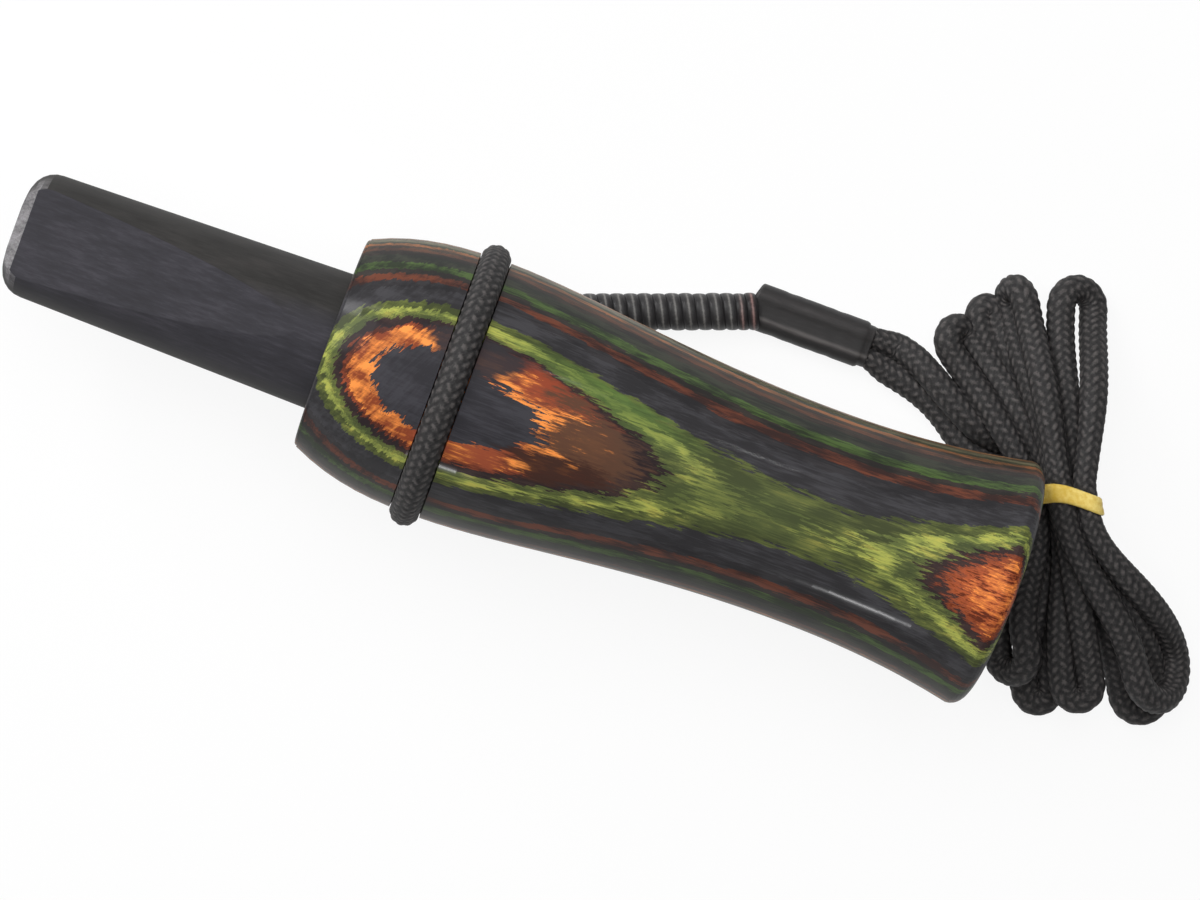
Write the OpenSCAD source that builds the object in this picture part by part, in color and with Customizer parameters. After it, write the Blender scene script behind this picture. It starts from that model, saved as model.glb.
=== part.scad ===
/* [Barrel] */
// Length of the wooden barrel
barrel_l = 89.5; // [86:0.5:94]
// Diameter at the front edge, where the mouthpiece goes in
front_d = 27.2; // [26:0.2:29]
// Diameter at the top of the front bulge
bulge_d = 33.8; // [33:0.2:36]
// Distance from the front edge to the top of the bulge
bulge_s = 18; // [17:0.5:20]
// Diameter of the narrow waist of the barrel
waist_d = 27.4; // [26:0.2:29]
// Distance from the top of the bulge to where the waist begins
fall_l = 45; // [40:1:50]
// Diameter that the rear flare runs out to
rear_d = 33; // [31:0.2:34]
// Radius that breaks the rear rim
rim_round = 1.8; // [0.8:0.2:2.4]
// Radius that breaks the front edge
front_round = 0.4; // [0.2:0.1:1]
// Diameter of the bore that opens at the rear
bell_d = 10; // [9:0.1:11]
// Depth of the socket for the tenon
socket_l = 35.5; // [35:0.5:38]
// Distance from the front edge to the lanyard groove
groove_s = 15.8; // [13:0.1:18]
// Width of the round lanyard groove
groove_w = 4; // [3.9:0.1:4.6]

/* [Mouthpiece] */
// Length of the mouthpiece in front of the barrel
mouth_l = 41.4; // [38:0.2:46]
// Width at the tip
tip_d = 15.9; // [15:0.1:17]
// Diameter beside the barrel
root_d = 17.8; // [17:0.1:19]
// Thickness over the two flats at the tip
tip_t = 10.4; // [9.6:0.1:12]
// Distance from the tip to where the flats run out
flat_l = 37; // [30:1:38]
// Radius of the corners of the tip
tip_round = 3.2; // [1.5:0.1:3.6]
// Width of the bevel across the tip
tip_bevel = 1.4; // [0.6:0.1:1.8]
// Diameter of the blowing hole
airway_d = 6.4; // [5:0.1:6.8]
// Diameter of the reed chamber
chamber_d = 10; // [9:0.1:10.4]
// Depth of the reed chamber from the end of the tenon
chamber_l = 50; // [46:0.5:54]
// Diameter of the tenon
tenon_d = 15.8; // [15.4:0.1:16.4]
// Length of the tenon
tenon_l = 32; // [30:0.5:32]
// Thickness of the two sealing rings
seal_d = 1.6; // [1.4:0.1:1.8]
// Distance from the barrel's front edge to the first sealing ring
seal_s = 8; // [6:0.5:10]
// Distance between the two sealing rings
seal_step = 14; // [10:0.5:16]

/* [Reed] */
// Length of the tone board
board_l = 42; // [38:0.5:44]
// How far the tone board stands out of the tenon
board_out = 3; // [1:0.5:5]
// Width of the sound channel
channel_w = 3.6; // [2.6:0.1:4.4]
// Depth of the sound channel
channel_h = 2.6; // [2:0.1:3.2]
// Wood left at the closed end of the sound channel
channel_end = 6.5; // [5:0.5:9]
// Drop of the sloping table under the tip of the reed
lay_drop = 0.7; // [0.68:0.02:1.1]
// Length of the reed
reed_l = 28; // [24:0.5:29]
// Width of the reed
reed_w = 7; // [5:0.1:7.6]
// Thickness of the reed
reed_t = 0.35; // [0.2:0.05:0.5]
// Length of the reed's root under the wedge
reed_hold = 3; // [2:0.2:3.6]
// Length of the wedge
wedge_l = 11; // [8:0.5:11]

/* [Lanyard] */
// Diameter of the braided cord
cord_d = 3.4; // [3:0.1:3.6]
// How far the noose stands out of its groove
noose_proud = 1.5; // [1.2:0.1:2]
// Thickness of the whipping thread
thread_d = 1.2; // [1:0.05:1.2]
// Distance between two turns of the whipping
thread_step = 1.77; // [1.75:0.01:1.85]
// Turns of the whipping
thread_turns = 16; // [10:1:16]
// Length of the smooth sleeve
sleeve_l = 15.7; // [12:0.1:17]
// Wall of the sleeve
sleeve_wall = 0.35; // [0.25:0.05:0.5]
// Width of the rubber band
band_w = 2.5; // [1.5:0.1:3]
// Thickness of the rubber band
band_t = 0.8; // [0.5:0.1:0.8]
// Diameter of the cord where the rubber band squeezes it
waist_cord_d = 2.8; // [2.6:0.1:2.8]
// Room between two passes of the cord in the hank's waist
waist_gap = 0.45; // [0.42:0.01:0.6]

/* [Hidden] */
$fn = 96;

// One unit of the route points, and one overrun for every cut
mm = 1;
over = 0.5;
// Clearances: tenon in socket, ring in groove, board in chamber, reed play, cord in sleeve
tenon_fit = 0.05;
seal_fit = 0.02;
board_fit = 0.02;
face_gap = 0.05;
reed_play = 0.1;
hole_fit = 0.2;
// Room across each sealing ring's groove, and the chamfer of the socket's mouth
seal_room = 0.4;
socket_chamfer = 0.5;

// The axis is X, the rear face of the barrel is x = 0 and the mouthpiece points to -X
front_x = -barrel_l;
tip_x = front_x - mouth_l;
tenon_x = front_x + tenon_l;
chamber_x = tenon_x - chamber_l;
board_x = tenon_x + board_out;
wedge_x = board_x - 1.5 * mm;
hold_x = wedge_x - wedge_l;
reed_x = hold_x + reed_hold - reed_l;

// The barrel's outline: how steeply its front, fall and flare curve
front_power_share = 2.7;
fall_power_share = 0.8;
flare_power_share = 2.2;
function barrel_r(s) =
  s < bulge_s ? bulge_d / 2
    - (bulge_d - front_d) / 2 * pow((bulge_s - s) / bulge_s, front_power_share)
  : s < bulge_s + fall_l ? waist_d / 2 + (bulge_d - waist_d) / 4
    * (1 + cos(180 * pow((s - bulge_s) / fall_l, fall_power_share)))
  : waist_d / 2 + (rear_d - waist_d) / 2
    * pow((s - bulge_s - fall_l) / (barrel_l - bulge_s - fall_l), flare_power_share);
rim_s = barrel_l - rim_round;
outline_steps = 40;
barrel_outline = concat(
  [[0, 0]],
  [for (a = [0:30:90]) [barrel_r(0) - front_round * cos(a) * (1 - sin(a)),
    front_round * (1 - cos(a))]],
  [for (i = [0:outline_steps]) let (s = front_round + (rim_s - front_round) * i / outline_steps)
    [barrel_r(s), s]],
  [for (a = [15:15:90]) [barrel_r(rim_s) - rim_round * (1 - cos(a)), rim_s + rim_round * sin(a)]],
  [[0, barrel_l]]);

// The noose lies in the groove, and the whole call rests on it
noose_x = front_x + groove_s;
groove_r = barrel_r(groove_s);
noose_r = groove_r + noose_proud - cord_d / 2;
rest_cut = cord_d / 10;
floor_z = rest_cut - noose_r - cord_d / 2;
cord_h = cord_d / 2 - rest_cut;

// Turns a body of revolution from its own axis to the call's axis, its origin at the front edge
module along_axis(x) translate([x, 0, 0]) rotate([0, 90, 0]) children();

// Sweep of a round section along points, with triangles only and no point under the floor
function unit(v) = v / norm(v);
function across(v, t) = unit(v - t * (v * t));
function headings(p) = [for (i = [0:len(p) - 1])
  unit(unit(p[min(i + 1, len(p) - 1)] - p[i] + (i == len(p) - 1 ? p[i] - p[i - 1] : [0, 0, 0]))
    + unit(p[i] - p[max(i - 1, 0)] + (i == 0 ? p[1] - p[0] : [0, 0, 0])))];
function carried(t, up) = [for (i = 0, n = across(up, t[0]); i < len(t);
  i = i + 1, n = i < len(t) ? across(n, t[i]) : n) n];
function above_floor(p) = [p[0], p[1], max(p[2], floor_z)];
module sweep(points, radii, sides, up = [0, 0, 1]) {
  t = headings(points);
  n = carried(t, up);
  last = len(points) - 1;
  skin = [for (i = [0:last], k = [0:sides - 1])
    above_floor(points[i] + radii[i] * (cos(360 * k / sides) * n[i]
      + sin(360 * k / sides) * cross(t[i], n[i])))];
  function at(i, k) = i * sides + k % sides;
  sides_faces = [for (i = [0:last - 1], k = [0:sides - 1], half = [0, 1])
    half == 0 ? [at(i, k), at(i + 1, k), at(i, k + 1)]
      : [at(i, k + 1), at(i + 1, k), at(i + 1, k + 1)]];
  caps = [for (k = [1:sides - 2], end = [0, 1])
    end == 0 ? [at(0, 0), at(0, k), at(0, k + 1)]
      : [at(last, 0), at(last, k + 1), at(last, k)]];
  polyhedron(skin, concat(sides_faces, caps));
}

// Distances along a cord, and the least gap between passes that are not next to each other
function distances(p) = [for (i = 0, d = 0; i < len(p);
  i = i + 1, d = i < len(p) ? d + norm(p[i] - p[i - 1]) : d) d];
function least_gap(p, r, apart) = let (d = distances(p))
  min([for (i = [0:len(p) - 2], j = [i + 1:len(p) - 1])
    if (d[j] - d[i] > apart) norm(p[i] - p[j]) - r[i] - r[j]]);

// Places that move with the noose: distance behind it, sideways place, height over the floor
function by_noose(p) = [noose_x + p[0], p[1], floor_z + p[2]];
// Places that move with the bell end
function by_bell(p) = [p[0], p[1], floor_z + p[2]];

// Whipping: a thread wound round the two parts of the noose where they close
thread_r = cord_d / 2 - 0.5 * mm;
whip_r = thread_r + face_gap + thread_d / 2;
whip_h = whip_r + thread_d / 2;
whip_from = mm * [5.7, 12.1];
whip_turn = 20.2;
whip_l = thread_step * thread_turns;
whip_axis = [cos(whip_turn), sin(whip_turn), 0];
whip_side = [-sin(whip_turn), cos(whip_turn), 0];
whip_start = by_noose([whip_from[0], whip_from[1], whip_h]);
whip_end = whip_start + whip_axis * whip_l;
thread_rings = 16;
thread_points = let (tail = thread_d,
  p = [for (i = [0:thread_turns * thread_rings]) let (a = 360 * i / thread_rings)
    whip_start + whip_axis * (whip_l * i / thread_turns / thread_rings)
      + whip_r * (cos(a) * [0, 0, 1] + sin(a) * whip_side)])
  concat([p[0] - tail * whip_side], p, [p[len(p) - 1] + tail * whip_side]);

// Sleeve: two lobes side by side, behind the whipping
sleeve_x = noose_x + mm * 33.6;
sleeve_y = mm * 23.2;
sleeve_h = mm * 2.15;
strand_in_r = 1.25 * mm;
lobe_y = strand_in_r + face_gap;
hole_r = strand_in_r + hole_fit;
sleeve_bridge = 1.3 * mm;

// Noose: the tail out of the sleeve, through the whipping, then round the groove
tail_in_sleeve = mm * 7.1;
tail_points = concat(
  [[sleeve_x + tail_in_sleeve, sleeve_y, floor_z + sleeve_h],
   [sleeve_x + tail_in_sleeve - 4 * mm, sleeve_y, floor_z + sleeve_h],
   [sleeve_x, sleeve_y - 0.65 * mm, floor_z + sleeve_h + 0.1 * mm],
   whip_end, whip_start],
  [for (p = mm * [[3.3, 11.2, 2.2], [1.2, 9.6, 1.7], [0.2, 7, 1.4], [0, 4, 1.36]]) by_noose(p)]);
tail_in_r = thread_r - face_gap;
tail_radii = [tail_in_r, tail_in_r, tail_in_r, thread_r, thread_r,
  cord_d / 2, cord_d / 2, cord_d / 2, cord_d / 2];
ring_step = 10;
ring_points = [for (a = [-90:-ring_step:-380])
  [noose_x, noose_r * cos(a), noose_r * sin(a)]];
return_points = [for (p = mm * [[0, 14.4, 8.7], [0.4, 13.2, 5.5], [1.6, 12.2, 3.3], [3.4, 11.6, 2.4]])
  by_noose(p)];
return_radii = [cord_d / 2, cord_d / 2, cord_d / 2 - 0.1 * mm, thread_r];

// Hank: ten passes of one cord, folded end to end and drawn in at the waist.
// Each pass has a column and a layer in the waist, and a place at each far end:
// sideways from the middle, height over the lowest layer, distance from the waist.
hank_at = mm * [5.2, 12.7];
hank_turn = 30;
pass_step = waist_cord_d + waist_gap;
waist_h = band_t + 0.1 * mm + waist_cord_d / 2;
waist_cells = [[0, 0], [0, 1], [1, 1], [1, 2], [1, 3], [2, 3], [2, 2], [2, 1], [2, 0], [1, 0]];
upper_ends = mm * [[0, 0, 2], [-10.4, 2.6, 21.5], [-7.2, 0, 25], [-2.2, 0.6, 26],
  [0.8, 5.2, 26], [9.4, 0.4, 24.2], [3.8, 3.4, 24.2], [0.2, 0, 18.5], [4.6, 0, 18.5], [0, 0, 2]];
lower_ends = mm * [[-13.6, 0, 18.2], [-10.6, 3.8, 18.2], [-4.6, 4, 23.6], [0.6, 3.6, 23.6],
  [7.6, 3.6, 27.6], [12.2, 0.2, 26], [7.8, 0, 24], [3, 0, 24], [-3.4, 0, 23.6], [-9, 0, 23.6]];
hold_l = 2 * mm;
swell_from = 7 * mm;
swell_l = 10 * mm;
lag_share = 3;
pass_rings = 14;
bend_rings = 6;
function smooth(u) = let (v = min(1, max(0, u))) v * v * (3 - 2 * v);
function in_hank(b, a, h) = [hank_at[0] + b * cos(hank_turn) + a * sin(hank_turn),
  hank_at[1] + b * sin(hank_turn) - a * cos(hank_turn), floor_z + h];
function pass_point(j, a) = let (
  cell = waist_cells[j],
  end = a < 0 ? upper_ends[j] : lower_ends[j],
  b0 = pass_step * (cell[0] - 1),
  h0 = waist_h + pass_step * cell[1],
  f = smooth((abs(a) - hold_l) / max(mm, end[2] - hold_l)))
  in_hank(b0 + (end[0] - b0) * f, a, h0 + (end[1] + cord_h - h0) * pow(f, lag_share));
function pass_radius(a) = (waist_cord_d
  + (cord_d - waist_cord_d) * smooth((abs(a) - swell_from) / swell_l)) / 2;
function pass_places(j) = let (from = -upper_ends[j][2], to = lower_ends[j][2],
  list = [for (i = [0:pass_rings]) from + (to - from) * i / pass_rings])
  j % 2 == 0 ? list : [for (i = [pass_rings:-1:0]) list[i]];
function bend_points(p, q, out) = let (
  half = (p - q) / 2,
  away = across(out, unit(half)) * norm(half))
  [for (i = [1:bend_rings - 1]) let (a = 180 * i / bend_rings)
    (p + q) / 2 + half * cos(a) + away * sin(a)];
hank_points = [for (j = [0:9]) let (
  places = pass_places(j),
  pass = [for (a = places) pass_point(j, a)],
  side = j % 2 == 0 ? 1 : -1,
  next = j < 9 ? pass_point(j + 1, pass_places(j + 1)[0]) : [0, 0, 0],
  bend = j < 9 ? bend_points(pass[pass_rings], next,
    side * [sin(hank_turn), -cos(hank_turn), 0]) : [])
  each concat(pass, bend)];
hank_radii = [for (j = [0:9])
  each concat([for (a = pass_places(j)) pass_radius(a)],
    j < 9 ? [for (i = [1:bend_rings - 1]) cord_d / 2] : [])];

// The two strands from the sleeve to the hank's waist: points midway between them,
// each with its height, the strands' distance from it and their radius
link_inner_r = waist_cord_d / 2;
link_in = [for (out = mm * [-6.1, 0.3])
  [sleeve_x + sleeve_l + out, sleeve_y, sleeve_h, lobe_y, strand_in_r]];
link_free = [for (p = mm * [[-21.3, 22.9], [-18.8, 22.1], [-16.2, 20.9], [-14, 19.2], [-12.2, 17.4],
  [-10, 16], [-7.4, 15.4], [-4.8, 15.6]]) [p[0], p[1], cord_h, cord_d / 2 + face_gap, cord_d / 2]];
link_out = [for (p = mm * [[-2.2, 16.3, 1.5], [0, 16.3, 1.8], [1.5, 15.4, 2.1]])
  [p[0], p[1], p[2], pass_step / 2, link_inner_r + 0.1 * mm]];
link_end = [for (a = mm * [-3, -2.5, -2]) let (p = in_hank(-pass_step / 2, a, waist_h))
  [p[0], p[1], waist_h, pass_step / 2, link_inner_r]];
link = concat(link_in, link_free, link_out, link_end);
link_middle = [for (p = link) [p[0], p[1], floor_z + p[2]]];
link_side = [for (t = headings(link_middle)) unit([-t[1], t[0], 0])];

module bore(d, from, to) along_axis(from) cylinder(d = d, h = to - from);

module barrel() color("sienna") difference() {
  along_axis(front_x) rotate_extrude() polygon(barrel_outline);
  bore(bell_d, front_x - over, over);
  bore(tenon_d + 2 * tenon_fit, front_x - over, front_x + socket_l);
  along_axis(front_x - over) cylinder(d1 = tenon_d + 2 * (tenon_fit + socket_chamfer + over),
    d2 = tenon_d + 2 * tenon_fit, h = socket_chamfer + over);
  along_axis(noose_x) rotate_extrude() translate([groove_r, 0]) circle(d = groove_w, $fn = 48);
}

// The outline of the mouthpiece and its tenon, turned round the axis
mouth_slope = (root_d - tip_d) / 2 / mouth_l;
mouth_outline = concat(
  [[0, 0]],
  [for (a = [0:15:90]) [tip_d / 2 + tip_round * mouth_slope - tip_round * (1 - sin(a)),
    tip_round * (1 - cos(a))]],
  [[root_d / 2, mouth_l - face_gap],
   [tenon_d / 2, mouth_l - face_gap],
   [tenon_d / 2, mouth_l + tenon_l - socket_chamfer],
   [tenon_d / 2 - socket_chamfer, mouth_l + tenon_l],
   [0, mouth_l + tenon_l]]);
flat_slope = (tip_d / 2 + mouth_slope * flat_l - tip_t / 2) / flat_l;
flat_profile = let (
  half = [[tip_x - over, tip_t / 2 - tip_bevel - over / 2],
    [tip_x + tip_bevel, tip_t / 2 + flat_slope * tip_bevel],
    [tenon_x + over, tip_t / 2 + flat_slope * (mouth_l + tenon_l + over)]])
  concat(half, [for (i = [2:-1:0]) [half[i][0], -half[i][1]]]);
drill_l = (chamber_d - airway_d) / 2 / tan(59);

module seal_groove(x) along_axis(x) rotate_extrude()
  translate([seal_r - seal_d / 2 - seal_fit, -(seal_d + seal_room) / 2])
    square([seal_d + over, seal_d + seal_room]);

module mouthpiece() color("#26242a") difference() {
  intersection() {
    along_axis(tip_x) rotate_extrude() polygon(mouth_outline);
    rotate([90, 0, 0]) translate([0, 0, -root_d]) linear_extrude(2 * root_d) polygon(flat_profile);
  }
  bore(airway_d, tip_x - over, tenon_x);
  bore(chamber_d, chamber_x, tenon_x + over);
  along_axis(chamber_x - drill_l) cylinder(d1 = airway_d, d2 = chamber_d, h = drill_l);
  seal_groove(seal_x);
  seal_groove(seal_x + seal_step);
}

// Sealing rings: each lies in its groove and reaches the socket's wall
seal_x = front_x + seal_s;
seal_r = tenon_d / 2 + tenon_fit - seal_fit - seal_d / 2;
module o_ring(x) along_axis(x) rotate_extrude() translate([seal_r, 0]) circle(d = seal_d, $fn = 48);
module front_o_ring() color("#1c1c1c") o_ring(seal_x);
module rear_o_ring() color("#1c1c1c") o_ring(seal_x + seal_step);

// A length of rod that fits the chamber
module chamber_rod(from, to) bore(chamber_d - 2 * board_fit, from, to);
module block(from, to, w, low, high) translate([from, -w / 2, low])
  cube([to - from, w, high - low]);

// Tone board: half a rod with a sound channel, its table sloping away under the reed
lay_x = board_x - board_l;
lay_low = lay_drop * (hold_x - lay_x) / (hold_x - reed_x);
module tone_board() color("#e8e2cf") difference() {
  chamber_rod(lay_x, board_x);
  rotate([90, 0, 0]) translate([0, 0, -chamber_d]) linear_extrude(2 * chamber_d)
    polygon([[lay_x - over, -lay_low - over * lay_drop / (hold_x - reed_x)], [hold_x, 0],
      [board_x + over, 0], [board_x + over, chamber_d], [lay_x - over, chamber_d]]);
  block(lay_x + channel_end, board_x + over, channel_w, -channel_h, over);
}

reed_z = reed_play;
reed_slot = reed_t + 2 * reed_play;
module reed() color("#d9c98c") translate([0, 0, reed_z]) linear_extrude(reed_t) {
  translate([reed_x + reed_w / 2, -reed_w / 2]) square([reed_l - reed_w / 2, reed_w]);
  translate([reed_x + reed_w / 2, 0]) circle(d = reed_w);
}

module reed_wedge() color("#b98a55") difference() {
  chamber_rod(hold_x, wedge_x);
  block(hold_x - over, wedge_x + over, 2 * chamber_d, -chamber_d, 0);
  block(hold_x - over, hold_x + reed_hold + 2 * reed_play, reed_w + 2 * reed_play, -over, reed_slot);
}

module noose() color("#1b1b1e") {
  sweep(concat(tail_points, ring_points), concat(tail_radii, [for (p = ring_points) cord_d / 2]), 8);
  sweep(concat([for (i = [len(ring_points) - 3:len(ring_points) - 1]) ring_points[i]], return_points),
    concat([for (i = [0:2]) cord_d / 2 - 0.1 * mm], return_radii), 8, [1, 0, 0]);
}

module whipping() color("#202024")
  sweep(thread_points, [for (p = thread_points) thread_d / 2], 6);

module lobes(r, bridge) {
  for (side = [-1, 1]) translate([side * lobe_y, 0]) circle(r = r, $fn = 48);
  translate([-lobe_y, -bridge]) square([2 * lobe_y, 2 * bridge]);
}
module sleeve() color("#161618") translate([sleeve_x, sleeve_y, floor_z + sleeve_h])
  rotate([90, 0, 90]) linear_extrude(sleeve_l) difference() {
    lobes(hole_r + sleeve_wall, sleeve_bridge + sleeve_wall);
    lobes(hole_r, sleeve_bridge);
  }

module neck_cord(side) color("#1b1b1e")
  sweep([for (i = [0:len(link) - 1]) link_middle[i] + side * link[i][3] * link_side[i]],
    [for (p = link) p[4]], 8);
module neck_cord_outer() neck_cord(1);
module neck_cord_inner() neck_cord(-1);

module neck_cord_hank() color("#232327") sweep(hank_points, hank_radii, 6);

// Rubber band: stretched over the five outer cords of the waist
band_cells = [[0, 0], [2, 0], [2, 3], [1, 3], [0, 1]];
band_corners = [for (c = band_cells) [pass_step * (c[0] - 1), waist_h + pass_step * c[1]]];
module stretched(r) {
  for (c = band_corners) translate(c) circle(r = r, $fn = 48);
  polygon([for (i = [0:4]) let (
    p = band_corners[i],
    q = band_corners[(i + 1) % 5],
    out = unit([q[1] - p[1], p[0] - q[0]]))
    each [p + r * out, q + r * out]]);
}
module rubber_band() color("gold") translate([hank_at[0], hank_at[1], floor_z])
  rotate([90, 0, hank_turn]) translate([0, 0, -band_w / 2]) linear_extrude(band_w) difference() {
    stretched(waist_cord_d / 2 + face_gap + band_t);
    stretched(waist_cord_d / 2 + face_gap);
  }

pass_apart = 9 * mm;
turn_apart = 4 * mm;
echo("least gap of the hank to itself", least_gap(hank_points, hank_radii, pass_apart));
echo("least gap of the whipping to itself",
  least_gap(thread_points, [for (p = thread_points) thread_d / 2], turn_apart));
echo("length of cord in the hank", distances(hank_points)[len(hank_points) - 1]);

barrel();
mouthpiece();
front_o_ring();
rear_o_ring();
tone_board();
reed();
reed_wedge();
noose();
whipping();
sleeve();
neck_cord_outer();
neck_cord_inner();
neck_cord_hank();
rubber_band();
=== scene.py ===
import math
import bpy
import numpy as np
from mathutils import Matrix, Vector


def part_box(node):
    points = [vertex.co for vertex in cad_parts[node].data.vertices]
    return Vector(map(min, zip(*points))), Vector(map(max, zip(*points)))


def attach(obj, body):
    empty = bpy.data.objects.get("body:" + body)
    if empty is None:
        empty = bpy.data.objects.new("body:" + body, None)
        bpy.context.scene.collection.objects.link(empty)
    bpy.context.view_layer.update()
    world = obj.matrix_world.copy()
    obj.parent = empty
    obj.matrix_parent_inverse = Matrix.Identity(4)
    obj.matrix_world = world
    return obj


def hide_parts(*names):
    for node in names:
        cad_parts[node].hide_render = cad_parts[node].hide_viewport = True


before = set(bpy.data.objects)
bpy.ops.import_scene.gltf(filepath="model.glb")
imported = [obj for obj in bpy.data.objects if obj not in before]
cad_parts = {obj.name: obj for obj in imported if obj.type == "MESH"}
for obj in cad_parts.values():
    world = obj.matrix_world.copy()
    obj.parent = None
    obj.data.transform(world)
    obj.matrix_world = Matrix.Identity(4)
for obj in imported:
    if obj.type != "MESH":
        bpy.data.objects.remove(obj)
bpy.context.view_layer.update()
MM = 0.001
# Height of the floor under the part, in metres and in millimetres
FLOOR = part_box("noose")[0][2]
FLOOR_MM = FLOOR / MM
# Where along the barrel the noose lies, in millimetres
NOOSE_X = -73.7


# Camera: over the call, looking almost straight down, turned so that the call lies aslant

CAMERA_AT = Vector((-74.64, 0.21, 511.0)) * MM
CAMERA_AIM = Vector((-53.34, -1.19, 0.0)) * MM
CAMERA_TURN = math.radians(20)
SENSOR_MM = 36.0
LENS_MM = 122.6


def make_camera():
    back = (CAMERA_AT - CAMERA_AIM).normalized()
    right = Vector((math.cos(CAMERA_TURN), math.sin(CAMERA_TURN), 0.0))
    right = (right - back * right.dot(back)).normalized()
    turned = Matrix((right, back.cross(right), back)).transposed().to_4x4()
    camera = bpy.data.objects.new("camera", bpy.data.cameras.new("camera"))
    camera.matrix_world = Matrix.Translation(CAMERA_AT) @ turned
    camera.data.sensor_width = SENSOR_MM
    camera.data.lens = LENS_MM
    bpy.context.collection.objects.link(camera)
    bpy.context.scene.camera = camera


# Routes of the cord, close to the CAD's, in millimetres. The cord is soft: here its passes press
# on each other, where the solids keep room between them. The hank has its own directions: b
# across it, a along it from the band, less than 0 towards its upper end, and h over the floor

CORD_D = 3.4
CORD_H = CORD_D / 2 - CORD_D / 10
# The cord's thickness and spacing where the band squeezes its passes together
WAIST_D = 2.8
WAIST_H = 0.9 + WAIST_D / 2
PASS_STEP = 2.88
WAIST_SHIFT = -0.3
HANK_AT = (5.2, 12.7)
HANK_TURN = math.radians(30)
# For each of the ten passes, its column and layer at the waist, and then its two ends: b, height
# over a cord that lies on the floor, and distance from the band
WAIST_CELLS = [(0, 0), (0, 1), (1, 1), (1, 2), (1, 3), (2, 3), (2, 2), (2, 1), (2, 0), (1, 0)]
UPPER_ENDS = [(0, 0, 2), (-10.4, 2.4, 21.6), (-7.7, 0.2, 23.6), (-1.7, 0.4, 26.2),
              (0, 4.2, 26.2), (9.2, 0.8, 24.2), (4.5, 3.2, 24.2), (-3.5, 0, 25.6),
              (-5.8, 0.2, 25.2), (0, 0, 2)]
LOWER_ENDS = [(-11.1, 2, 19), (-7.8, 6.2, 16.4), (-3.5, 3.4, 23.4), (0, 4.2, 24.2),
              (5.3, 7.6, 22.4), (11.9, 0.6, 22.8), (9, 0, 26.8), (4.3, 0, 26.4),
              (-4.7, 0, 24), (-8.1, 0, 23.3)]
# Most passes sway to their ends in a plain S, and these to their upper ends by a power of the way
UPPER_SWAY = {1: 1.3, 2: 1.4, 5: 0.95, 6: 3.0}
# A pass runs straight as far as HOLD from the band. It swells to its full thickness from
# SWELL_FROM on, over SWELL, and sinks later than it sways, by the power LAG
HOLD, SWELL_FROM, SWELL, LAG = 2.0, 5.0, 9.0, 3
PASS_STEPS, BEND_STEPS = 48, 12
# The sleeve's near end, its length, and how far its two lobes lie from its middle
SLEEVE_AT = (NOOSE_X + 33.6, 23.2, 2.15)
SLEEVE_L = 15.7
LOBE_Y = 1.3


def smooth(u):
    v = min(1.0, max(0.0, u))
    return v * v * (3 - 2 * v)


def in_hank(b, a, h):
    return np.array([HANK_AT[0] + b * math.cos(HANK_TURN) + a * math.sin(HANK_TURN),
                     HANK_AT[1] + b * math.sin(HANK_TURN) - a * math.cos(HANK_TURN),
                     FLOOR_MM + h])


def pass_point(j, a):
    column, layer = WAIST_CELLS[j]
    end_b, end_h, reach = UPPER_ENDS[j] if a < 0 else LOWER_ENDS[j]
    b, h = PASS_STEP * (column - 1) + WAIST_SHIFT, WAIST_H + PASS_STEP * layer
    way = min(1.0, max(0.0, abs(a) - HOLD) / max(1.0, reach - HOLD))
    sway = way ** UPPER_SWAY[j] if a < 0 and j in UPPER_SWAY else smooth(way)
    sink = smooth(way) ** LAG
    return in_hank(b + (end_b - b) * sway, a, h + (end_h + CORD_H - h) * sink)


def pass_radius(a):
    return (WAIST_D + (CORD_D - WAIST_D) * smooth((abs(a) - SWELL_FROM) / SWELL)) / 2


def bend(p, q, out):
    """Points on half an ellipse from p to q that bulges towards out."""
    half = (p - q) / 2
    away = out - half * out.dot(half) / half.dot(half)
    away *= np.linalg.norm(half) / np.linalg.norm(away)
    turns = [math.pi * i / BEND_STEPS for i in range(1, BEND_STEPS)]
    return [(p + q) / 2 + half * math.cos(t) + away * math.sin(t) for t in turns]


def hank_route():
    points, radii = [], []
    along = np.array([math.sin(HANK_TURN), -math.cos(HANK_TURN), 0.0])
    last = len(WAIST_CELLS) - 1
    for j in range(last + 1):
        side = 1 if j % 2 == 0 else -1
        places = np.linspace(-UPPER_ENDS[j][2], LOWER_ENDS[j][2], PASS_STEPS)[::side]
        points += [pass_point(j, a) for a in places]
        radii += [pass_radius(a) for a in places]
        if j < last:
            ends = LOWER_ENDS if side == 1 else UPPER_ENDS
            turn = bend(points[-1], pass_point(j + 1, side * ends[j + 1][2]), side * along)
            points += turn
            radii += [CORD_D / 2] * len(turn)
    return points, radii


# The two strands from the sleeve to the waist: how far out of the sleeve, then x, y and how far
# one strand rides up on the other, then x, y and height, then the places by the band
LINK_IN_SLEEVE = (-6.1, 0.3)
LINK_OPEN = ((-21.3, 22.9, 0), (-18.8, 22.3, 0.6), (-16.3, 21.3, 1.2), (-13.8, 20.1, 1.4),
             (-11.5, 18.8, 1.4), (-9.2, 17.4, 1.2), (-7, 16.3, 0.6), (-4.8, 15.8, 0))
LINK_RISING = ((-2.2, 16.3, 1.5), (0, 16.3, 1.8), (1.5, 15.4, 2.1))
LINK_IN_BAND = (-3, -2.5, -2)
LINK_HALF = 1.69
LINK_SLEEVED_R, LINK_RISING_R = 1.25, 1.5


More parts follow.
